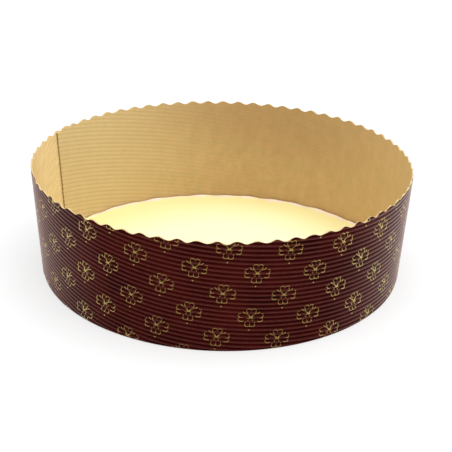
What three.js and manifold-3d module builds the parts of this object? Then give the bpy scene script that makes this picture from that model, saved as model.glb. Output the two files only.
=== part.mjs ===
// Panettone baking mold: a ring of ribbed paper board with a scalloped rim, on a paper base.
// Millimetres, +Z up. The origin is on the standing plane under the middle of the ring.
// The wall is one strip, rolled once around. Its two ends lap and are glued at the back left.
// The strip is cut from board with straight ribs, as the flat pattern of a shallow cone, so the ribs lie
// level nearly opposite the lap and climb towards it from both sides.

import * as THREE from 'three';
import Module from 'manifold-3d';
import { mergeGeometries, mergeVertices } from 'three/addons/utils/BufferGeometryUtils.js';

const wasm = await Module();
wasm.setup();

// Size of the mold, over the rib crests
const RIM_RADIUS = 105;
const FOOT_RADIUS = 100.3;
const WALL_HEIGHT = 61.2; // up to the middle of the scallops

// Ribbed board of the wall: a flat face inside and rounded ribs outside
const BOARD_THICKNESS = 1;
const RIB_DEPTH = 0.7;
const RIB_PITCH = 2.48;

// Scallops along the rim, measured along the strip from its inner end
const SCALLOP_PITCH = 9.48;
const SCALLOP_HEIGHT = 1.55; // from valley to peak
const FIRST_PEAK = 6.6;

// Where the ribs run level, and the lap of the strip's ends: angles are counter-clockwise from +X
const RIB_LEVEL_ANGLE = -17;
const SEAM_ANGLE = 155.8; // the inner end
const LAP_LENGTH = 15.2;
const GLUE_BITE = 0.08; // how far the glued rib crests sink into the layer over them

// Foot: the lower edge is turned in, pressed thin and pleated, and carries the base
const HEM_WIDTH = 9;
const HEM_THICKNESS = 0.75;
const FOLD_RADIUS = 0.8;
const PLEAT_COUNT = 48;
const PLEAT_WIDTH = 1.6;
const PLEAT_DEPTH = 0.35;

// Base disc
const BASE_THICKNESS = 0.5;
const BASE_CLEARANCE = 0.3;
const BASE_CORNERS = 72;

// The light ring is a little out of round: a squeeze with two lobes and an egg shape with three
const SQUEEZE = 0.9;
const SQUEEZE_ANGLE = 105;
const EGG = 1.05;
const EGG_ANGLE = 28;

// How finely the curves are stepped, and how far a cutting solid reaches past what it cuts
const STEPS_PER_SCALLOP = 6;
const FACETS = 58; // from the end of the lap around to its start
const CUT_MARGIN = 0.6;
const LEAST_SHARE = 0.25; // of half a rib or of an edge step, which neighbouring points keep apart

const radians = THREE.MathUtils.degToRad;
const degrees = THREE.MathUtils.radToDeg;

// Distances along the rim as angles of turn, in degrees
const turnOf = (length) => degrees(length / RIM_RADIUS);
const SCALLOP_TURN = turnOf(SCALLOP_PITCH);
const LAP_TURN = turnOf(LAP_LENGTH);
const STRIP_TURN = 360 + LAP_TURN;
const LAYER_STEP = BOARD_THICKNESS - GLUE_BITE;

// The cone that the wall lies on: its slope and the slant distance from its tip down to the foot
const CONE_SLOPE = Math.atan2(RIM_RADIUS - FOOT_RADIUS, WALL_HEIGHT);
const FOOT_SLANT = FOOT_RADIUS / Math.sin(CONE_SLOPE);

// Outline of the ring: how far it stands off the true circle at a polar angle in degrees
function outOfRound(angle) {
  const squeeze = SQUEEZE * Math.cos(radians(2 * (angle - SQUEEZE_ANGLE)));
  const egg = EGG * Math.cos(radians(3 * (angle - EGG_ANGLE)));
  return squeeze + egg;
}

// Radius of the strip over its rib crests. It winds outwards by one layer in a full turn.
function crestRadius(turn, z) {
  const cone = FOOT_RADIUS + (RIM_RADIUS - FOOT_RADIUS) * (z / WALL_HEIGHT);
  const winding = LAYER_STEP * (turn / 360 - 0.5);
  return cone + outOfRound(SEAM_ANGLE - turn) + winding;
}

// A point of the strip: turn along it from the inner end, inset from the rib crests, and height
function stripPoint(turn, inset, z) {
  const angle = radians(SEAM_ANGLE - turn);
  const radius = crestRadius(turn, z) - inset;
  return [radius * Math.cos(angle), radius * Math.sin(angle), z];
}

// Bearing of a turn on the flat pattern, from where the ribs run level
const bearing = (turn) => radians(turn - (SEAM_ANGLE - RIB_LEVEL_ANGLE)) * Math.sin(CONE_SLOPE);

// Height on the rolled wall of a straight rib line on the flat pattern, and the line through a height
const lineHeight = (line, turn) => (line / Math.cos(bearing(turn)) - FOOT_SLANT) * Math.cos(CONE_SLOPE);
const lineAt = (z, turn) => (FOOT_SLANT + z / Math.cos(CONE_SLOPE)) * Math.cos(bearing(turn));

// Inset of the ribbed face: crests on the even half pitches, valleys on the odd ones
function ribInset(line) {
  const phase = THREE.MathUtils.euclideanModulo(line / RIB_PITCH, 1);
  return RIB_DEPTH * (1 - Math.abs(2 * phase - 1));
}

// Height of the scalloped edge
function rimHeight(turn) {
  const peaks = (turn - turnOf(FIRST_PEAK)) / SCALLOP_TURN;
  return WALL_HEIGHT + (SCALLOP_HEIGHT / 2) * Math.cos(2 * Math.PI * peaks);
}

// Section of the strip at a turn, from the flat face around the hem and up the ribbed face to the last
// crest or valley below the scallops. Each crest and valley keeps its key along its whole line, and the
// fold presses the ribs to half their depth.
function wallSection(turn) {
  const half = RIB_PITCH / 2;
  const apart = half * LEAST_SHARE;
  const corners = [
    { key: -5, inset: BOARD_THICKNESS, z: HEM_THICKNESS },
    { key: -4, inset: BOARD_THICKNESS + HEM_WIDTH, z: HEM_THICKNESS },
    { key: -3, inset: BOARD_THICKNESS + HEM_WIDTH, z: 0 },
    { key: -2, inset: RIB_DEPTH / 2 + FOLD_RADIUS, z: 0 },
    { key: -1, inset: RIB_DEPTH / 2, z: FOLD_RADIUS },
  ];
  const lowest = Math.ceil(lineAt(FOLD_RADIUS + apart, turn) / half);
  const highest = Math.floor(lineAt(WALL_HEIGHT - SCALLOP_HEIGHT / 2 - apart, turn) / half);
  for (let row = lowest; row <= highest; row += 1) {
    corners.push({ key: row, inset: row % 2 === 0 ? 0 : RIB_DEPTH, z: lineHeight(row * half, turn) });
  }
  return corners;
}

// Closed solid from positions and triangle corners
function solidFrom(positions, triangles) {
  return new wasm.Manifold(new wasm.Mesh({
    numProp: 3,
    vertProperties: new Float32Array(positions),
    triVerts: new Uint32Array(triangles),
  }));
}

// Two neighbouring sections joined by triangles. Corners with equal keys face each other, and a corner
// that only one section has is fanned to the other section.
function joinSections(near, far, triangles) {
  let i = 0;
  let j = 0;
  while (i < near.length - 1 || j < far.length - 1) {
    const nearKey = i < near.length - 1 ? near[i + 1].key : Infinity;
    const farKey = j < far.length - 1 ? far[j + 1].key : Infinity;
    if (farKey <= nearKey) {
      triangles.push(near[i].index, far[j + 1].index, far[j].index);
      j += 1;
    }
    if (nearKey <= farKey) {
      triangles.push(near[i].index, near[i + 1].index, far[j].index);
      i += 1;
    }
  }
}

// The face between one facet's straight lower side and the fine steps of its edge, as two fans
function fanToEdge(near, far, edge, triangles) {
  const middle = Math.floor(edge.length / 2);
  for (let k = 1; k < edge.length; k += 1) {
    triangles.push(k <= middle ? near : far, edge[k - 1], edge[k]);
  }
  triangles.push(near, edge[middle], far);
}

// The narrow top of the scalloped edge, between its fine steps outside and inside
function joinEdges(outside, inside, triangles) {
  for (let k = 1; k < outside.length; k += 1) {
    triangles.push(outside[k - 1], inside[k - 1], inside[k]);
    triangles.push(outside[k - 1], inside[k], outside[k]);
  }
}

// Flat end of a length of the strip, facing along it or, reversed, back along it
function capSection(loop, reversed, triangles) {
  const outline = loop.map(({ inset, z }) => new THREE.Vector2(-inset, z));
  for (const face of THREE.ShapeUtils.triangulateShape(outline, [])) {
    const turnsLeft = THREE.ShapeUtils.area(face.map((corner) => outline[corner])) > 0;
    const corners = face.map((corner) => loop[corner].index);
    triangles.push(...(turnsLeft === reversed ? corners.reverse() : corners));
  }
}

// Turns in ascending order from one end to the other, without any that lie too near each other
function stopsBetween(from, to, candidates) {
  const least = EDGE_STEP * LEAST_SHARE;
  const stops = [from];
  for (const turn of candidates.toSorted((a, b) => a - b)) {
    if (turn > stops.at(-1) + least && turn < to - least) {
      stops.push(turn);
    }
  }
  return [...stops, to];
}

// Fine steps along the scalloped edge, from before the strip's inner end to past its outer end
const EDGE_STEP = SCALLOP_TURN / STEPS_PER_SCALLOP;
const EDGE_STOPS = Array.from(
  { length: Math.ceil(STRIP_TURN / EDGE_STEP) + STEPS_PER_SCALLOP },
  (_, k) => turnOf(FIRST_PEAK) + (k - STEPS_PER_SCALLOP) * EDGE_STEP,
);

// Turns at which the wall has a section. Both layers of the lap have theirs at the same angles, so that
// their facets run side by side.
const FACET_STOPS = Array.from(
  { length: FACETS + 1 },
  (_, k) => LAP_TURN + (k * (360 - LAP_TURN)) / FACETS,
);

// One length of the strip, closed by a flat end at both sides
function stripLength(from, to) {
  const positions = [];
  const triangles = [];
  const addPoint = (turn, { inset, z }) => {
    positions.push(...stripPoint(turn, inset, z));
    return positions.length / 3 - 1;
  };
  const addCorner = (turn, corner) => ({ ...corner, index: addPoint(turn, corner) });
  const rimCorners = (turn) => {
    const z = rimHeight(turn);
    const outside = addCorner(turn, { inset: ribInset(lineAt(z, turn)), z });
    const inside = addCorner(turn, { inset: BOARD_THICKNESS, z });
    return { outside, inside };
  };
  const station = (turn) => ({
    turn,
    section: wallSection(turn).map((corner) => addCorner(turn, corner)),
    rim: rimCorners(turn),
  });
  const stations = stopsBetween(from, to, FACET_STOPS).map(station);
  for (let k = 1; k < stations.length; k += 1) {
    const near = stations[k - 1];
    const far = stations[k];
    const steps = stopsBetween(near.turn, far.turn, EDGE_STOPS).slice(1, -1).map(rimCorners);
    const rim = [near.rim, ...steps, far.rim];
    const outside = rim.map((corners) => corners.outside.index);
    const inside = rim.map((corners) => corners.inside.index);
    joinSections(near.section, far.section, triangles);
    fanToEdge(near.section.at(-1).index, far.section.at(-1).index, outside, triangles);
    joinEdges(outside, inside, triangles);
    fanToEdge(far.section[0].index, near.section[0].index, inside.toReversed(), triangles);
  }
  for (const { section, rim } of [stations[0], stations.at(-1)]) {
    capSection([...section, rim.outside, rim.inside], section === stations[0].section, triangles);
  }
  return solidFrom(positions, triangles);
}

// Closed solid of a three.js geometry
function solidOf(geometry) {
  const bare = geometry.clone();
  bare.deleteAttribute('normal');
  bare.deleteAttribute('uv');
  const merged = mergeVertices(bare);
  return solidFrom(merged.attributes.position.array, merged.index.array);
}

// Creases under the hem: each is a flat wedge that runs out at the fold
function pleatCreases() {
  const length = HEM_WIDTH + CUT_MARGIN;
  const wedge = new THREE.ConeGeometry(1, length, 4).scale(PLEAT_WIDTH / 2, 1, PLEAT_DEPTH);
  wedge.translate(0, FOOT_RADIUS - BOARD_THICKNESS - length / 2, 0);
  const creases = Array.from({ length: PLEAT_COUNT }, (_, k) => (
    wedge.clone().rotateZ((2 * Math.PI * k) / PLEAT_COUNT)
  ));
  return solidOf(mergeGeometries(creases));
}

// The wall is swept in two lengths that meet face to face half-way round, so that its ends can lap
function sideWall() {
  const middle = FACET_STOPS[FACETS / 2];
  const ring = stripLength(0, middle).add(stripLength(middle, STRIP_TURN));
  const mesh = ring.subtract(pleatCreases()).getMesh();
  const geometry = new THREE.BufferGeometry();
  geometry.setAttribute('position', new THREE.BufferAttribute(mesh.vertProperties, 3));
  geometry.setIndex(new THREE.BufferAttribute(mesh.triVerts, 1));
  geometry.computeVertexNormals();
  return geometry;
}

// The base fits inside the innermost layer of the foot and lies on the hem
function baseDisc() {
  const inside = FOOT_RADIUS - LAYER_STEP / 2 - BOARD_THICKNESS - BASE_CLEARANCE;
  const edge = Array.from({ length: BASE_CORNERS }, (_, k) => {
    const angle = (360 * k) / BASE_CORNERS;
    const radius = inside + outOfRound(angle);
    return new THREE.Vector2(radius * Math.cos(radians(angle)), radius * Math.sin(radians(angle)));
  });
  return new THREE.ExtrudeGeometry(new THREE.Shape(edge), { depth: BASE_THICKNESS, bevelEnabled: false });
}

const printedBoard = new THREE.MeshStandardMaterial({ color: 0x54221c, roughness: 0.6, metalness: 0 });
const creamPaper = new THREE.MeshStandardMaterial({ color: 0xf6e9a8, roughness: 0.8, metalness: 0 });

const wall = new THREE.Mesh(sideWall(), printedBoard);
wall.name = 'side_wall';

const base = new THREE.Mesh(baseDisc(), creamPaper);
base.name = 'base_disc';
base.position.z = HEM_THICKNESS;

const mold = new THREE.Group();
mold.add(wall, base);

// The middle of the ring's box goes over the origin
const middle = new THREE.Box3().setFromObject(mold).getCenter(new THREE.Vector3());
mold.position.set(-middle.x, -middle.y, 0);

export default mold;
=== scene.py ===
"""A low paper panettone mold: a ribbed, printed board wall with a scalloped rim and a pale base.

The wall is one strip of fluted board, cut as the flat pattern of a shallow cone and rolled once around.
A point of it has a turn, in degrees along the strip from its inner end, and a height. Lengths are in
millimetres until a mesh is made.
"""

import math

import bpy
import numpy as np
from mathutils import Matrix, Vector


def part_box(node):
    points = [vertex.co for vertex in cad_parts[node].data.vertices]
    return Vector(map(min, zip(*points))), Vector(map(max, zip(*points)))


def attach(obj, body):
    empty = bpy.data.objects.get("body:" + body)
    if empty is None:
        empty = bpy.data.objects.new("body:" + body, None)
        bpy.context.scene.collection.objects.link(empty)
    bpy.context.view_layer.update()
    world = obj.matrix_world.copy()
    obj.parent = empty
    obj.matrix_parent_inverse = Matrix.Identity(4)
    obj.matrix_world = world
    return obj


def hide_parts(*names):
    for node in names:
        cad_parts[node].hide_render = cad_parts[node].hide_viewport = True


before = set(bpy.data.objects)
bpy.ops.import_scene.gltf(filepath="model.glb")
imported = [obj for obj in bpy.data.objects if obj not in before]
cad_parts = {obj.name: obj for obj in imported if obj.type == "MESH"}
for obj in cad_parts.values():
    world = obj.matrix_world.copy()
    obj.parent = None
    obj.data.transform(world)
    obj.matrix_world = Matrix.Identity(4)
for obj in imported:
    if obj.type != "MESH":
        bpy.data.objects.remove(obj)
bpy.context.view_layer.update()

MM = 0.001

# Sizes of the mold, over the rib crests. Angles are in degrees, counter-clockwise from +X.
RIM_RADIUS = 105.0
FOOT_RADIUS = 100.3
WALL_HEIGHT = 61.2
BOARD = 1.0
RIB_DEPTH = 0.7
RIB_PITCH = 2.48
SCALLOP_PITCH = 9.48
SCALLOP_HEIGHT = 1.55
FIRST_PEAK = 6.6  # along the strip from its inner end
SEAM_ANGLE = 155.8
LAP_LENGTH = 15.2
GLUE_BITE = 0.08
RIB_LEVEL_ANGLE = -17.0
HEM_WIDTH = 9.0
HEM_THICKNESS = 0.75
FOLD_RADIUS = 0.8
RIB_RISE = 1.5  # height over which the ribs come up from the fold
PLEATS = 48
PLEAT_DEPTH = 0.3
PLEAT_SHARPNESS = 6
SQUEEZE, SQUEEZE_ANGLE = 0.9, 105.0
EGG, EGG_ANGLE = 1.05, 28.0

# Base disc: its edge is crimped by waves, each given by its count round the disc and its lead in degrees
BASE_THICKNESS = 0.5
BASE_CLEARANCE = 0.3
CRIMP_DEPTH = 0.5
CRIMP_RISE = 0.9
CRIMP_START = 0.98
CRIMP_WAVES = ((23, 0.0), (41, 60.0))

# Steps of the fine surfaces
STEPS_PER_SCALLOP = 7
STEPS_PER_RIB = 6
INNER_ROWS = 14
FOLD_ROWS = 4
HEM_ROWS = 6
BASE_STEPS = 720
BASE_TOP_SHARES = (0.2, 0.4, 0.6, 0.8, 0.93, 0.98, 0.99, 1.0)
BASE_LOW_SHARES = (1.0, 0.93, 0.6, 0.2)
OUTLINE_STEPS = 4000
SHARP_ANGLE = math.radians(55)

# The wall's materials, in the order of its slots
OUTSIDE, INSIDE, EDGE, END = range(4)

# Print on the outside: flowers in staggered rows along the ribs, each with a dot a little below it
FLOWER_SPACING = 30.28
FLOWER_ROWS = 12.45
FLOWER_SHIFT = 15.04
FLOWER_START = (8.5, 2.4)
HEART_RADIUS = 0.15
DOT_RADIUS = 0.12
DOT_DROP = 7.3
LINE_CORE = 0.065  # the gold is full this far from the middle of a line
LINE_REACH = 0.245  # and gone this far from it

# Zones of the kraft face, from and to, along from the strip's inner end or up from the foot: painted light
# beside the inner end and further along, painted shade towards the rim, and the smooth outer end
PALE_ZONE = (20.0, 130.0)
FAR_LIGHT_ZONE = (140.0, 250.0)
RIM_SHADE_ZONE = (5.0, 45.0)
SMOOTH_ZONE = (70.0, 20.0)  # back from the strip's outer end
BRUSH_LEAN = -0.35  # how far the brushed lines beside the lap climb for each millimetre along

# Camera, from the fit of the rims and the scallops: lengths are shares of the rim's radius, angles radians
PICTURE = 452
SENSOR = 36.0
CAMERA_FOCAL = 1361.0  # in pixels of the picture
CAMERA_DISTANCE = 7.2054
CAMERA_ELEVATION = 0.4036
CAMERA_AIM_HEIGHT = 0.3
CAMERA_ROLL = 0.0214
CAMERA_YAW = 0.0039
CAMERA_DIP = 0.0097

# Light and ground: places and sizes in metres, power in watts
KEY_PLACE = (0.34, -0.2, 1.6)
KEY_AIM = (0.0, 0.0, 0.03)
KEY_SIZE = 1.5
KEY_POWER = 14.0
SURROUNDINGS = 0.92
FLOOR_HALF = 3.0
FLOOR_GLOW = 0.6

LAP_TURN = math.degrees(LAP_LENGTH / RIM_RADIUS)
STRIP_TURN = 360.0 + LAP_TURN
LAYER_STEP = BOARD - GLUE_BITE
CONE_SLOPE = math.atan2(RIM_RADIUS - FOOT_RADIUS, WALL_HEIGHT)
FOOT_SLANT = FOOT_RADIUS / math.sin(CONE_SLOPE)


def out_of_round(angle):
    """How far the ring stands off the true circle: a squeeze of two lobes and an egg shape of three."""
    squeeze = SQUEEZE * np.cos(np.radians(2 * (angle - SQUEEZE_ANGLE)))
    return squeeze + EGG * np.cos(np.radians(3 * (angle - EGG_ANGLE)))


def crest_radius(turn, z):
    """Radius over the rib crests: a cone, the ring's outline, and one layer more for each full turn."""
    cone = FOOT_RADIUS + (RIM_RADIUS - FOOT_RADIUS) * z / WALL_HEIGHT
    return cone + out_of_round(SEAM_ANGLE - turn) + LAYER_STEP * (turn / 360 - 0.5)


def bearing(turn):
    """Direction of a turn on the flat pattern, in radians from where the ribs run level."""
    return np.radians(turn - (SEAM_ANGLE - RIB_LEVEL_ANGLE)) * math.sin(CONE_SLOPE)


def sheet_place(turn, z):
    """Place on the flat board: along the ribs, and across them."""
    slant = FOOT_SLANT + z / math.cos(CONE_SLOPE)
    return slant * np.sin(bearing(turn)), slant * np.cos(bearing(turn)) - FOOT_SLANT


def rib_inset(across):
    """Depth of the ribbed face below its crests: a cosine wave across the ribs."""
    return RIB_DEPTH * (0.5 - 0.5 * np.cos(2 * np.pi * across / RIB_PITCH))


def rim_height(turn):
    """Height of the scalloped edge: a cosine wave along it."""
    along = np.radians(turn) * RIM_RADIUS
    return WALL_HEIGHT + SCALLOP_HEIGHT / 2 * np.cos(2 * np.pi * (along - FIRST_PEAK) / SCALLOP_PITCH)


def wall_sections():
    """The strip's surface as rows of points, each row running along the strip.

    The rows go up the ribbed face along the ribs, over the edge, down the flat face, and round the hem.
    Where a rib runs out at the rim or the foot, its row stays on that edge. At the fold the ribs are pressed
    to half their depth, and above it they rise smoothly to their full depth. The pleats are a raised cosine
    wave to a high power, cut deeper and deeper into the hem from the fold inwards.
    Returns radius, height, developed height and turn, as arrays of rows by columns, and each row's face.
    """
    columns = round(STRIP_TURN / math.degrees(SCALLOP_PITCH / RIM_RADIUS) * STEPS_PER_SCALLOP) + 1
    turn = np.linspace(0, STRIP_TURN, columns)
    rim = rim_height(turn)
    foot = np.full(columns, FOLD_RADIUS)
    step = RIB_PITCH / STEPS_PER_RIB
    low = sheet_place(turn, FOLD_RADIUS)[1].min()
    high = sheet_place(turn, WALL_HEIGHT + SCALLOP_HEIGHT)[1].max()
    across = np.arange(math.floor(low / step), math.ceil(high / step) + 1) * step
    slant = (across[:, None] + FOOT_SLANT) / np.cos(bearing(turn))[None, :]
    z = (slant - FOOT_SLANT) * math.cos(CONE_SLOPE)
    snap = step / 4
    z = np.where(z < foot + snap, foot, z)
    z = np.where(z > rim - snap, rim, z)
    outer_z = np.vstack([foot, z, rim])
    rise = np.clip((outer_z - FOLD_RADIUS) / RIB_RISE, 0, 1)
    pressed = RIB_DEPTH / 2
    ribs = rib_inset(sheet_place(turn, outer_z)[1])
    outer_r = crest_radius(turn, outer_z) - pressed - (ribs - pressed) * rise * rise * (3 - 2 * rise)

    share = np.linspace(1, 0, INNER_ROWS)[:, None]
    inner_z = HEM_THICKNESS + (rim - HEM_THICKNESS) * share
    inner_r = crest_radius(turn, inner_z) - BOARD

    hem = np.linspace(0, 1, HEM_ROWS)[1:, None]
    pleat = 0.5 - 0.5 * np.cos(np.radians(turn * PLEATS))
    crease = PLEAT_DEPTH * pleat ** PLEAT_SHARPNESS
    top_r = crest_radius(turn, HEM_THICKNESS) - BOARD - HEM_WIDTH * hem
    top_z = np.full_like(top_r, HEM_THICKNESS)
    under = hem[::-1]
    under_r = crest_radius(turn, 0.0) - BOARD - HEM_WIDTH * under
    under_z = crease * under

    bend = np.linspace(math.pi / 2, 0, FOLD_ROWS + 1)[:-1, None]
    fold_r = crest_radius(turn, FOLD_RADIUS) - pressed - FOLD_RADIUS * (1 - np.cos(bend))
    fold_z = FOLD_RADIUS * (1 - np.sin(bend)) * np.ones(columns)

    radius = np.vstack([outer_r, inner_r, top_r, under_r, fold_r])
    height = np.vstack([outer_z, inner_z, top_z, under_z, fold_z])
    developed = np.vstack([
        outer_z,
        inner_z,
        -HEM_WIDTH * hem * np.ones(columns),
        -HEM_WIDTH * under * np.ones(columns),
        fold_z,
    ])
    counts = [len(outer_r), len(inner_r), len(top_r), len(under_r), len(fold_r)]
    face = np.repeat([OUTSIDE, INSIDE, INSIDE, OUTSIDE, OUTSIDE], counts)
    face[len(outer_r) - 1] = EDGE
    face[sum(counts[:3]) - 1] = EDGE
    return radius, height, developed, np.broadcast_to(turn, radius.shape), face


def ring_centre():
    """Middle of the ring's box, which the CAD model puts over its origin."""
    low, high = (Vector(corner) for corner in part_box("side_wall"))
    turn = np.linspace(0, STRIP_TURN, OUTLINE_STEPS)
    radius = crest_radius(turn, WALL_HEIGHT)
    angle = np.radians(SEAM_ANGLE - turn)
    x, y = radius * np.cos(angle), radius * np.sin(angle)
    centre = (low + high) / 2
    return (x.max() + x.min()) / 2 - centre.x / MM, (y.max() + y.min()) / 2 - centre.y / MM


CENTRE_X, CENTRE_Y = ring_centre()


def mesh_object(name, points, faces):
    """A piece of the mold in metres, from points in millimetres about the ring's own centre."""
    placed = (np.asarray(points) - (CENTRE_X, CENTRE_Y, 0.0)) * MM
    mesh = bpy.data.meshes.new(name)
    mesh.from_pydata(placed.tolist(), [], faces)
    mesh.validate()
    piece = bpy.data.objects.new(name, mesh)
    bpy.context.scene.collection.objects.link(piece)
    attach(piece, "root")
    return piece


def keep_on_mesh(mesh, name, vectors):
    """One vector for each point, kept on the mesh for its material to read."""
    attribute = mesh.attributes.new(name, "FLOAT_VECTOR", "POINT")
    attribute.data.foreach_set("vector", vectors.astype(np.float32).ravel())


def shared_corners(points):
    """Number of each point of the rows, shared where a point meets the one in the row before."""
    rows, columns, _ = points.shape
    corner = np.arange(rows * columns).reshape(rows, columns)
    same = np.all(np.isclose(points[1:], points[:-1]), axis=-1)
    for row in range(1, rows):
        corner[row] = np.where(same[row - 1], corner[row - 1], corner[row])
    return corner


def strip_faces(corner, face):
    """Faces between each row and the next, and their material slots.

    A face has four corners. Where its left or right corners meet it has three, and where both meet there is
    none. The last row is followed by the first, so the section closes.
    """
    following = np.roll(corner, -1, axis=0)
    quads = np.stack([corner[:, :-1], following[:, :-1], following[:, 1:], corner[:, 1:]], axis=-1)
    quads = quads.reshape(-1, 4)
    slots = np.repeat(face, corner.shape[1] - 1)
    left_open = quads[:, 0] != quads[:, 1]
    right_open = quads[:, 2] != quads[:, 3]
    whole = left_open & right_open
    left_only = left_open & ~right_open
    right_only = right_open & ~left_open
    faces = quads[whole].tolist() + quads[left_only, :3].tolist() + quads[right_only, 1:].tolist()
    return faces, np.concatenate([slots[whole], slots[left_only], slots[right_only]])


def make_wall(materials):
    """The wall: its rows joined to a closed skin, with a flat face at both ends of the strip."""
    radius, height, developed, turn, face = wall_sections()
    angle = np.radians(SEAM_ANGLE - turn)
    points = np.stack([radius * np.cos(angle), radius * np.sin(angle), height], axis=-1)
    corner = shared_corners(points)
    used = np.unique(corner)
    corner = np.searchsorted(used, corner)
    faces, slots = strip_faces(corner, face)
    inner_end = list(dict.fromkeys(corner[:, 0].tolist()))
    outer_end = list(dict.fromkeys(corner[::-1, -1].tolist()))
    wall = mesh_object("ribbed_wall", points.reshape(-1, 3)[used], faces + [inner_end, outer_end])
    mesh = wall.data
    along, across = sheet_place(turn, developed)
    sheet = np.stack([along, across, np.zeros_like(along)], axis=-1).reshape(-1, 3)[used]
    keep_on_mesh(mesh, "sheet", sheet)
    for material in materials:
        mesh.materials.append(material)
    mesh.polygons.foreach_set("material_index", np.append(slots, [END, END]).astype(np.int32))
    finish_mesh(mesh)
    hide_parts("side_wall")
    return wall


def finish_mesh(mesh):
    """Smooth shading, broken at sharp edges."""
    mesh.shade_smooth()
    mesh.set_sharp_from_angle(angle=SHARP_ANGLE)
    mesh.update()


def make_base(material):
    """The base: a disc given by an angle and a share of the way out to its edge.

    The edge follows the ring's outline, drawn in by the crimp, which is a sum of sine waves round the disc.
    Near the edge the crimp also lifts the upper face, in proportion to how far out a point lies.
    """
    angle = np.linspace(0, 360, BASE_STEPS, endpoint=False)
    inside = FOOT_RADIUS - LAYER_STEP / 2 - BOARD - BASE_CLEARANCE
    waves = sum(np.sin(np.radians(count * angle + lead)) for count, lead in CRIMP_WAVES)
    crimp = 0.5 + waves / (2 * len(CRIMP_WAVES))
    edge = inside + out_of_round(angle) - CRIMP_DEPTH * crimp
    share = np.array(BASE_TOP_SHARES + BASE_LOW_SHARES)[:, None]
    upper = np.repeat([1.0, 0.0], [len(BASE_TOP_SHARES), len(BASE_LOW_SHARES)])[:, None]
    lift = upper * np.clip((share - CRIMP_START) / (1 - CRIMP_START), 0, 1)
    z = HEM_THICKNESS + BASE_THICKNESS * upper + CRIMP_RISE * crimp * lift
    x = edge * share * np.cos(np.radians(angle))
    y = edge * share * np.sin(np.radians(angle))
    rings = np.stack([x, y, z], axis=-1).reshape(-1, 3)
    top_pole = (0.0, 0.0, HEM_THICKNESS + BASE_THICKNESS)
    low_pole = (0.0, 0.0, HEM_THICKNESS)
    points = np.vstack([top_pole, rings, low_pole])

    corner = 1 + np.arange(len(rings)).reshape(len(share), BASE_STEPS)
    following = np.roll(corner, -1, axis=1)
    quads = np.stack([corner[:-1], corner[1:], following[1:], following[:-1]], axis=-1).reshape(-1, 4)
    first = np.zeros(BASE_STEPS, dtype=int)
    last = np.full(BASE_STEPS, len(points) - 1)
    top_fan = np.stack([first, corner[0], following[0]], axis=-1)
    low_fan = np.stack([corner[-1], last, following[-1]], axis=-1)
    base = mesh_object("base_paper", points, top_fan.tolist() + quads.tolist() + low_fan.tolist())
    place = np.zeros((len(points), 3))
    place[1:-1, 0] = np.repeat(share.ravel(), BASE_STEPS)
    keep_on_mesh(base.data, "place", place)
    base.data.materials.append(material)
    finish_mesh(base.data)
    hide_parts("base_disc")
    return base


class Recipe:
    """A new material and short ways to add nodes to it."""

    def __init__(self, name):
        self.material = bpy.data.materials.new(name)
        self.material.use_nodes = True
        self.nodes = self.material.node_tree.nodes
        self.links = self.material.node_tree.links
        self.shader = self.nodes["Principled BSDF"]

    def feed(self, socket, value):
        """A socket takes another node's output, or a constant."""
        if isinstance(value, bpy.types.NodeSocket):
            self.links.new(value, socket)
        else:
            socket.default_value = value

    def maths(self, operation, *values):
        """A number worked out from numbers."""
        node = self.nodes.new("ShaderNodeMath")
        node.operation = operation
        for socket, value in zip(node.inputs, values):
            self.feed(socket, value)
        return node.outputs[0]

    def vector(self, operation, *values):
        """A vector or a number worked out from vectors."""
        node = self.nodes.new("ShaderNodeVectorMath")
        node.operation = operation
        for socket, value in zip(node.inputs, values):
            self.feed(socket, value)
        numbers = ("LENGTH", "DISTANCE", "DOT_PRODUCT")
        return node.outputs["Value" if operation in numbers else "Vector"]

    def scaled(self, vector, amount):
        """A vector times a number."""
        node = self.nodes.new("ShaderNodeVectorMath")
        node.operation = "SCALE"
        self.feed(node.inputs[0], vector)
        self.feed(node.inputs["Scale"], amount)
        return node.outputs[0]

    def parts(self, vector):
        """The X, Y and Z of a vector."""
        node = self.nodes.new("ShaderNodeSeparateXYZ")
        self.feed(node.inputs[0], vector)
        return node.outputs

    def joined(self, x, y):
        """A flat vector from two numbers."""
        node = self.nodes.new("ShaderNodeCombineXYZ")
        for socket, value in zip(node.inputs, (x, y)):
            self.feed(socket, value)
        return node.outputs[0]

    def attribute(self, name):
        """A vector kept on the mesh."""
        node = self.nodes.new("ShaderNodeAttribute")
        node.attribute_name = name
        return node.outputs["Vector"]

    def position(self):
        """Object coordinates."""
        return self.nodes.new("ShaderNodeTexCoord").outputs["Object"]

    def noise(self, where, scale, detail=3.0, roughness=0.55):
        """Smooth noise from 0 to 1."""
        node = self.nodes.new("ShaderNodeTexNoise")
        self.feed(node.inputs["Vector"], where)
        node.inputs["Scale"].default_value = scale
        node.inputs["Detail"].default_value = detail
        node.inputs["Roughness"].default_value = roughness
        return node.outputs["Fac"]

    def between(self, value, low, high, to_low=0.0, to_high=1.0):
        """A number's range carried smoothly to another range, and held there."""
        node = self.nodes.new("ShaderNodeMapRange")
        node.interpolation_type = "SMOOTHSTEP"
        for socket, item in zip(node.inputs, (value, low, high, to_low, to_high)):
            self.feed(socket, item)
        return node.outputs[0]

    def mixed(self, share, first, second):
        """Two colours mixed."""
        node = self.nodes.new("ShaderNodeMix")
        node.data_type = "RGBA"
        self.feed(node.inputs["Factor"], share)
        self.feed(node.inputs[6], first)
        self.feed(node.inputs[7], second)
        return node.outputs[2]

    def opposite(self, share):
        """One less a share."""
        return self.maths("SUBTRACT", 1.0, share)

    def bump(self, height, strength, distance):
        """A normal from a height."""
        node = self.nodes.new("ShaderNodeBump")
        node.inputs["Strength"].default_value = strength
        node.inputs["Distance"].default_value = distance
        self.feed(node.inputs["Height"], height)
        return node.outputs[0]


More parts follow.
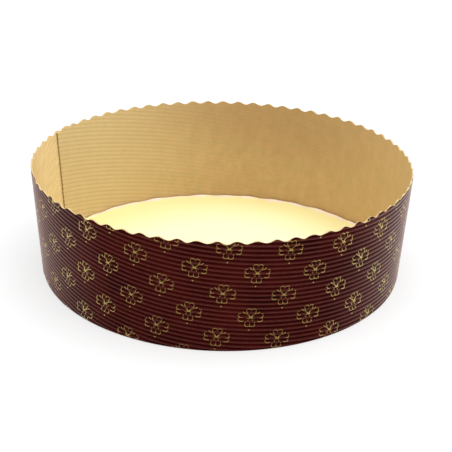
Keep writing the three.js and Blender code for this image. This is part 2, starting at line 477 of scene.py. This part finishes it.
def colour(red, green, blue):
    """A colour as a picture shows it, from 0 to 255, as the shader's linear numbers."""
    shares = (red / 255, green / 255, blue / 255)
    linear = [c / 12.92 if c <= 0.04045 else ((c + 0.055) / 1.055) ** 2.4 for c in shares]
    return (*linear, 1.0)


def segment_distance(recipe, place, start, end):
    """Distance from a straight stroke, given its ends."""
    run = (end[0] - start[0], end[1] - start[1], 0.0)
    square = run[0] ** 2 + run[1] ** 2
    offset = recipe.vector("SUBTRACT", place, (*start, 0.0))
    share = recipe.vector("DOT_PRODUCT", offset, tuple(c / square for c in run))
    share = recipe.maths("MAXIMUM", recipe.maths("MINIMUM", share, 1.0), 0.0)
    return recipe.vector("DISTANCE", offset, recipe.scaled(run, share))


def arc_distance(recipe, place, centre, radius, side):
    """Distance from the half of a circle that lies on the given side of its centre."""
    offset = recipe.vector("SUBTRACT", place, (*centre, 0.0))
    ring = recipe.maths("ABSOLUTE", recipe.maths("SUBTRACT", recipe.vector("LENGTH", offset), radius))
    behind = recipe.vector("DOT_PRODUCT", offset, (-side[0], -side[1], 0.0))
    return recipe.maths("MAXIMUM", ring, behind)


def nearest(recipe, distances):
    """The least of several distances."""
    least = distances[0]
    for distance in distances[1:]:
        least = recipe.maths("MINIMUM", least, distance)
    return least


def path_distance(recipe, place, *corners):
    """Distance from a stroke drawn through several corners."""
    return nearest(recipe, [
        segment_distance(recipe, place, start, end) for start, end in zip(corners, corners[1:])
    ])


def flower_distance(recipe, sheet):
    """Distance from the printed lines: a four-petalled flower in each cell of a staggered pattern.

    The flower's two halves mirror each other, so its strokes are given for one side only. The dot under a
    flower lies in the cell below, half a spacing to the side.
    """
    along, across, _ = recipe.parts(sheet)
    up = recipe.maths("SUBTRACT", across, FLOWER_START[1])
    row = recipe.maths("ROUND", recipe.maths("DIVIDE", up, FLOWER_ROWS))
    shift = recipe.maths("MULTIPLY_ADD", row, FLOWER_SHIFT, FLOWER_START[0])
    right = recipe.maths("SUBTRACT", along, shift)
    column = recipe.maths("ROUND", recipe.maths("DIVIDE", right, FLOWER_SPACING))
    x = recipe.maths("ABSOLUTE", recipe.maths("MULTIPLY_ADD", column, -FLOWER_SPACING, right))
    y = recipe.maths("MULTIPLY_ADD", row, -FLOWER_ROWS, up)
    place = recipe.joined(x, y)
    strokes = [
        arc_distance(recipe, place, (1.25, 3.75), 1.15, (0, 1)),
        path_distance(recipe, place, (2.4, 3.75), (2.15, 2.5), (1.0, 1.1), (0.1, 0.1)),
        segment_distance(recipe, place, (0.1, 3.75), (0.0, 3.5)),
        segment_distance(recipe, place, (0.4, 0.3), (4.0, 2.95)),
        path_distance(recipe, place, (5.2, 2.2), (5.95, 1.9), (6.15, 0.8), (5.5, -0.2), (4.4, -0.2)),
        path_distance(recipe, place, (5.5, -0.2), (6.1, -1.0), (5.95, -1.9), (5.3, -2.4), (3.7, -2.3)),
        segment_distance(recipe, place, (0.3, -0.2), (1.9, -1.0)),
        segment_distance(recipe, place, (0.2, -0.3), (1.2, -1.9)),
        path_distance(recipe, place, (2.3, -2.7), (2.45, -4.6), (1.9, -5.25), (1.1, -5.35)),
        segment_distance(recipe, place, (1.1, -5.35), (0.0, -5.0)),
        segment_distance(recipe, place, (0.0, -5.0), (0.0, -3.5)),
    ]
    heart = segment_distance(recipe, place, (0.0, -0.1), (0.6, -0.1))
    dot = recipe.vector("DISTANCE", place, (FLOWER_SHIFT, FLOWER_ROWS - DOT_DROP, 0.0))
    blots = [recipe.maths("SUBTRACT", heart, HEART_RADIUS), recipe.maths("SUBTRACT", dot, DOT_RADIUS)]
    return nearest(recipe, strokes + blots)


def rib_wave(recipe, across):
    """One on the rib crests and nought in the valleys between them."""
    wave = recipe.maths("COSINE", recipe.maths("MULTIPLY", across, 2 * math.pi / RIB_PITCH))
    return recipe.maths("MULTIPLY_ADD", wave, 0.5, 0.5)


def printed_outside():
    """Maroon print with painted shade in the valleys between the ribs, thin gold flowers and a satin surface.

    The crests get a painted sheen: a paler colour where they are seen at a slant. The gold fades in the
    valleys as painted shade. At a slant it is filled in there and paler, as a painted sheen. It is a little
    worn everywhere. How slanted the view is comes from the round wall, not from the single ribs.
    """
    recipe = Recipe("printed_board")
    sheet = recipe.attribute("sheet")
    _, across, _ = recipe.parts(sheet)
    crest = rib_wave(recipe, across)
    where = recipe.position()
    broad = recipe.noise(where, 45.0)
    fibre = recipe.noise(recipe.vector("MULTIPLY", sheet, (0.35, 2.2, 1.0)), 1.0, 5.0, 0.7)
    # painted shade: the print colour is darker in the valleys between the ribs
    valley_shade = recipe.mixed(recipe.between(broad, 0.3, 0.7), colour(36, 4, 4), colour(62, 10, 6))
    ridge = recipe.mixed(recipe.between(fibre, 0.35, 0.7), colour(66, 20, 15), colour(88, 38, 30))
    maroon = recipe.mixed(recipe.between(crest, 0.35, 1.0), valley_shade, ridge)
    distance = flower_distance(recipe, sheet)
    line = recipe.between(distance, LINE_CORE, LINE_REACH, 1.0, 0.0)
    worn = recipe.between(recipe.noise(sheet, 1.3, 4.0), 0.25, 0.55, 0.7, 1.0)
    weight = recipe.nodes.new("ShaderNodeLayerWeight")
    round_normal = recipe.vector("NORMALIZE", recipe.vector("MULTIPLY", where, (1.0, 1.0, 0.0)))
    recipe.feed(weight.inputs["Normal"], round_normal)
    slant = recipe.between(weight.outputs["Facing"], 0.25, 1.1)
    # painted sheen: a paler colour mixed into the crests where the wall is seen at a slant
    sheen = recipe.maths("MULTIPLY", slant, recipe.between(crest, 0.1, 0.9, 0.2, 0.9))
    maroon = recipe.mixed(sheen, maroon, colour(152, 118, 109))
    # painted sheen on the gold: where the wall is seen at a slant, the gold fills the valleys and turns paler
    side = recipe.between(weight.outputs["Facing"], 0.12, 0.45)
    # the gold fades in the valleys as painted shade, except where the painted sheen fills it in
    broken = recipe.maths("MAXIMUM", recipe.between(crest, 0.0, 0.7, 0.3, 1.0), side)
    gold = recipe.maths("MULTIPLY", recipe.maths("MULTIPLY", line, worn), broken)
    # painted sheen: the gold is paler where the wall is seen at a slant
    gilt_with_sheen = recipe.mixed(side, colour(152, 130, 72), colour(204, 188, 120))
    recipe.feed(recipe.shader.inputs["Base Color"], recipe.mixed(gold, maroon, gilt_with_sheen))
    gloss = recipe.maths("MULTIPLY_ADD", slant, 0.35, 0.08)
    recipe.feed(recipe.shader.inputs["Specular IOR Level"], recipe.maths("MULTIPLY", crest, gloss))
    recipe.shader.inputs["Roughness"].default_value = 0.32
    recipe.feed(recipe.shader.inputs["Normal"], recipe.bump(fibre, 0.25, 0.0002))
    return recipe.material


def kraft_inside():
    """Pale brown kraft paper: soft clouding, fine fibres, and the ribs showing through.

    Beside the inner end of the strip the paper is paler, as painted light, and the ribs show most. Further
    along it is dimmer towards the rim, as painted shade, and then lighter again, as painted light. Towards
    the outer end it is pale, smooth and finely brushed.
    """
    recipe = Recipe("kraft_paper")
    sheet = recipe.attribute("sheet")
    along, across, _ = recipe.parts(sheet)
    start = float(sheet_place(0.0, 0.0)[0])
    end = float(sheet_place(STRIP_TURN, 0.0)[0])
    near_start = recipe.between(along, start + PALE_ZONE[0], start + PALE_ZONE[1], 1.0, 0.0)
    near_end = recipe.between(along, end - SMOOTH_ZONE[0], end - SMOOTH_ZONE[1])
    far = recipe.between(along, start + FAR_LIGHT_ZONE[0], start + FAR_LIGHT_ZONE[1])
    cloud = recipe.noise(recipe.vector("MULTIPLY", sheet, (1.0, 0.5, 1.0)), 0.15, 6.0, 0.65)
    tint = recipe.noise(sheet, 0.22, 5.0, 0.65)
    fibre = recipe.noise(recipe.vector("MULTIPLY", sheet, (0.5, 2.6, 1.0)), 1.2, 6.0, 0.75)
    kraft = recipe.mixed(recipe.between(cloud, 0.3, 0.7), colour(190, 159, 107), colour(203, 172, 120))
    kraft = recipe.mixed(recipe.between(fibre, 0.35, 0.7, 0.0, 0.4), kraft, colour(180, 149, 97))
    kraft = recipe.mixed(recipe.between(tint, 0.48, 0.7, 0.0, 0.5), kraft, colour(176, 158, 98))
    kraft = recipe.mixed(recipe.between(tint, 0.52, 0.3, 0.0, 0.5), kraft, colour(210, 162, 114))
    # painted light: paler beside the strip's inner end
    kraft = recipe.mixed(recipe.maths("MULTIPLY", near_start, 0.6), kraft, colour(226, 204, 152))
    # painted light: lighter again further along the strip
    kraft = recipe.mixed(recipe.maths("MULTIPLY", far, 0.4), kraft, colour(222, 186, 128))
    # painted shade: darker towards the rim, between the pale zone and the far zone
    upper = recipe.between(across, *RIM_SHADE_ZONE, 0.0, 0.5)
    rim_shade = recipe.maths("MULTIPLY", upper, recipe.opposite(far))
    rim_shade = recipe.maths("MULTIPLY", rim_shade, recipe.opposite(near_start))
    kraft = recipe.mixed(rim_shade, kraft, colour(168, 132, 84))
    groove = recipe.between(rib_wave(recipe, across), 0.75, 0.0)
    ribbed = recipe.maths("MULTIPLY_ADD", near_start, 0.8, 0.2)
    ribbed = recipe.maths("MULTIPLY", ribbed, recipe.opposite(near_end))
    shade = recipe.maths("MULTIPLY", recipe.maths("MULTIPLY", groove, ribbed), 0.15)
    kraft = recipe.mixed(shade, kraft, colour(140, 110, 64))
    slope = recipe.maths("MULTIPLY_ADD", along, BRUSH_LEAN, across)
    strokes = recipe.joined(recipe.maths("MULTIPLY", slope, 1.7), recipe.maths("MULTIPLY", along, 0.1))
    brush = recipe.noise(strokes, 1.0, 3.0)
    smooth = recipe.mixed(recipe.between(brush, 0.35, 0.65), colour(239, 213, 160), colour(221, 192, 138))
    kraft = recipe.mixed(near_end, kraft, smooth)
    raised = recipe.maths("MULTIPLY", ribbed, recipe.opposite(groove))
    height = recipe.maths("MULTIPLY_ADD", fibre, 0.3, raised)
    recipe.feed(recipe.shader.inputs["Base Color"], kraft)
    recipe.shader.inputs["Roughness"].default_value = 0.7
    recipe.shader.inputs["Specular IOR Level"].default_value = 0.3
    recipe.feed(recipe.shader.inputs["Normal"], recipe.bump(height, 0.35, 0.00025))
    return recipe.material


def cut_edge():
    """The scalloped cut edge of the board: bare pale brown paper."""
    recipe = Recipe("cut_board")
    fibre = recipe.noise(recipe.position(), 1500.0, 3.0)
    recipe.feed(
        recipe.shader.inputs["Base Color"],
        recipe.mixed(fibre, colour(200, 170, 118), colour(234, 210, 158)),
    )
    recipe.shader.inputs["Roughness"].default_value = 0.9
    return recipe.material


def cut_end():
    """The cut end of the strip, across its ribs: brown paper, a little paler in the ribs than between."""
    recipe = Recipe("cut_flutes")
    _, across, _ = recipe.parts(recipe.attribute("sheet"))
    flute = recipe.between(rib_wave(recipe, across), 0.3, 0.9)
    recipe.feed(
        recipe.shader.inputs["Base Color"],
        recipe.mixed(flute, colour(172, 146, 100), colour(182, 156, 108)),
    )
    recipe.shader.inputs["Roughness"].default_value = 0.9
    return recipe.material


def cream_base():
    """Smooth pale yellow baking paper, faintly mottled, deeper yellow outwards as painted light from the
    wall, with an uneven pale painted highlight along its edge.
    """
    recipe = Recipe("cream_paper")
    where = recipe.position()
    cloud = recipe.noise(where, 25.0, 3.0)
    fibre = recipe.noise(where, 900.0, 4.0, 0.7)
    cream = recipe.mixed(cloud, colour(255, 253, 204), colour(255, 255, 222))
    share = recipe.parts(recipe.attribute("place"))[0]
    ragged_highlight = recipe.maths("MULTIPLY_ADD", recipe.noise(where, 160.0, 4.0, 0.6), 0.08, share)
    # painted light: deeper yellow outwards, the warm light thrown back by the kraft wall
    cream = recipe.mixed(recipe.between(share, 0.5, 1.0, 0.0, 0.8), cream, colour(255, 244, 166))
    # painted highlight: a pale, uneven line along the disc's edge
    cream = recipe.mixed(recipe.between(ragged_highlight, 1.015, 1.035), cream, colour(255, 240, 222))
    recipe.feed(recipe.shader.inputs["Base Color"], cream)
    recipe.shader.inputs["Roughness"].default_value = 0.6
    recipe.feed(recipe.shader.inputs["Normal"], recipe.bump(fibre, 0.15, 0.0001))
    return recipe.material


def white_floor():
    """White ground that keeps the mold's soft shadow, and is mixed with plain white for the camera."""
    mesh = bpy.data.meshes.new("floor")
    corners = [(x * FLOOR_HALF, y * FLOOR_HALF, 0.0) for x, y in ((-1, -1), (1, -1), (1, 1), (-1, 1))]
    mesh.from_pydata(corners, [], [[0, 1, 2, 3]])
    floor = bpy.data.objects.new("floor", mesh)
    bpy.context.scene.collection.objects.link(floor)
    recipe = Recipe("white_ground")
    recipe.shader.inputs["Base Color"].default_value = (1.0, 1.0, 1.0, 1.0)
    recipe.shader.inputs["Roughness"].default_value = 0.9
    glow = recipe.nodes.new("ShaderNodeEmission").outputs[0]
    seen = recipe.nodes.new("ShaderNodeLightPath").outputs["Is Camera Ray"]
    blend = recipe.nodes.new("ShaderNodeMixShader")
    recipe.feed(blend.inputs[0], recipe.maths("MULTIPLY", seen, FLOOR_GLOW))
    recipe.feed(blend.inputs[1], recipe.shader.outputs[0])
    recipe.feed(blend.inputs[2], glow)
    recipe.feed(recipe.nodes["Material Output"].inputs["Surface"], blend.outputs[0])
    mesh.materials.append(recipe.material)


def add_camera():
    """The photograph's view: from the front, above the rim, with a long lens."""
    unit = RIM_RADIUS * MM
    place = Vector((
        0.0,
        -CAMERA_DISTANCE * math.cos(CAMERA_ELEVATION),
        CAMERA_DISTANCE * math.sin(CAMERA_ELEVATION) + CAMERA_AIM_HEIGHT,
    )) * unit - Vector((CENTRE_X, CENTRE_Y, 0.0)) * MM
    pitch = CAMERA_ELEVATION + CAMERA_DIP
    forward = Vector((
        math.sin(CAMERA_YAW) * math.cos(pitch),
        math.cos(CAMERA_YAW) * math.cos(pitch),
        -math.sin(pitch),
    ))
    right = Vector((math.cos(CAMERA_YAW), -math.sin(CAMERA_YAW), 0.0))
    up = right.cross(forward)
    turned_right = math.cos(CAMERA_ROLL) * right + math.sin(CAMERA_ROLL) * up
    turned_up = math.cos(CAMERA_ROLL) * up - math.sin(CAMERA_ROLL) * right
    data = bpy.data.cameras.new("camera")
    data.sensor_width = SENSOR
    data.lens = SENSOR * CAMERA_FOCAL / PICTURE
    camera = bpy.data.objects.new("camera", data)
    turn = Matrix((turned_right, turned_up, -forward)).transposed().to_4x4()
    camera.matrix_world = Matrix.Translation(place) @ turn
    bpy.context.scene.collection.objects.link(camera)
    bpy.context.scene.camera = camera


def add_key_light():
    """One square soft light from above, a little to the right and to the front."""
    data = bpy.data.lights.new("key", "AREA")
    data.size = KEY_SIZE
    data.energy = KEY_POWER
    light = bpy.data.objects.new("key", data)
    light.location = KEY_PLACE
    light.rotation_euler = (Vector(KEY_AIM) - Vector(KEY_PLACE)).to_track_quat("-Z", "Y").to_euler()
    bpy.context.scene.collection.objects.link(light)


def white_surroundings():
    """Even white light from all around."""
    world = bpy.data.worlds.new("studio")
    world.use_nodes = True
    background = world.node_tree.nodes["Background"]
    background.inputs["Color"].default_value = (1.0, 1.0, 1.0, 1.0)
    background.inputs["Strength"].default_value = SURROUNDINGS
    bpy.context.scene.world = world


make_wall([printed_outside(), kraft_inside(), cut_edge(), cut_end()])
make_base(cream_base())
white_floor()
add_camera()
white_surroundings()
add_key_light()

bpy.context.scene.view_settings.view_transform = "Standard"
